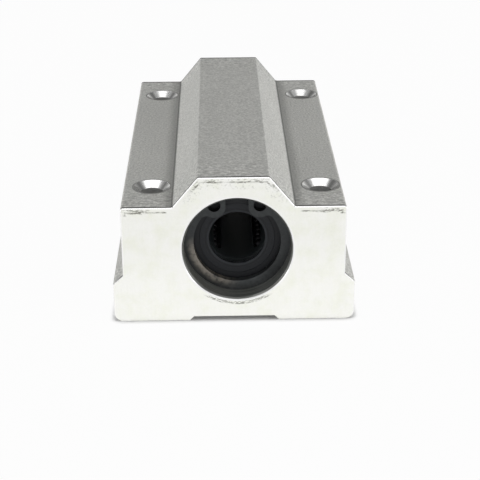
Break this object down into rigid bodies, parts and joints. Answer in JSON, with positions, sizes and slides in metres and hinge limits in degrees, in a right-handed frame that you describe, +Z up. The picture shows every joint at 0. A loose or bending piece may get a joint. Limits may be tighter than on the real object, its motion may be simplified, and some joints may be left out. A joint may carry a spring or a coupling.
{
  "type": "linear bearing block",
  "caption": "Long aluminium pillow block with ball bearings in line for a sliding round shaft, tapped for bolts on both sides of the bore.",
  "frame": {"origin": "centre of the underside of the block, on the plane that it is bolted down by", "axes": "+Y along the shaft from the front end to the rear, +Z up from the base to the ridge, +X to the right seen from the front"},
  "size_m": [0.034, 0.058, 0.0217],
  "materials": {
    "housing_aluminium": "bead-blasted extrusion with bright milled ends",
    "bearing_steel": "ground bearing steel",
    "spring_steel": "phosphated and oiled spring steel",
    "cage_resin": "black moulded resin",
    "seal_rubber": "black nitrile rubber",
    "ball_steel": "polished"
  },
  "bodies": {
    "root": {"housing": "housing_aluminium", "spacer_sleeve": "bearing_steel", "front_retaining_ring": "spring_steel", "front_outer_sleeve": "bearing_steel", "front_ball_cage": "cage_resin", "front_outer_end_ring": "bearing_steel", "front_inner_end_ring": "bearing_steel", "front_outer_seal": "seal_rubber", "front_inner_seal": "seal_rubber", "front_ball_circuit_1": "ball_steel", "front_ball_circuit_2": "ball_steel", "front_ball_circuit_3": "ball_steel", "front_ball_circuit_4": "ball_steel", "rear_retaining_ring": "spring_steel", "rear_outer_sleeve": "bearing_steel", "rear_ball_cage": "cage_resin", "rear_outer_end_ring": "bearing_steel", "rear_inner_end_ring": "bearing_steel", "rear_outer_seal": "seal_rubber", "rear_inner_seal": "seal_rubber", "rear_ball_circuit_1": "ball_steel", "rear_ball_circuit_2": "ball_steel", "rear_ball_circuit_3": "ball_steel", "rear_ball_circuit_4": "ball_steel"}
  },
  "joints": []
}
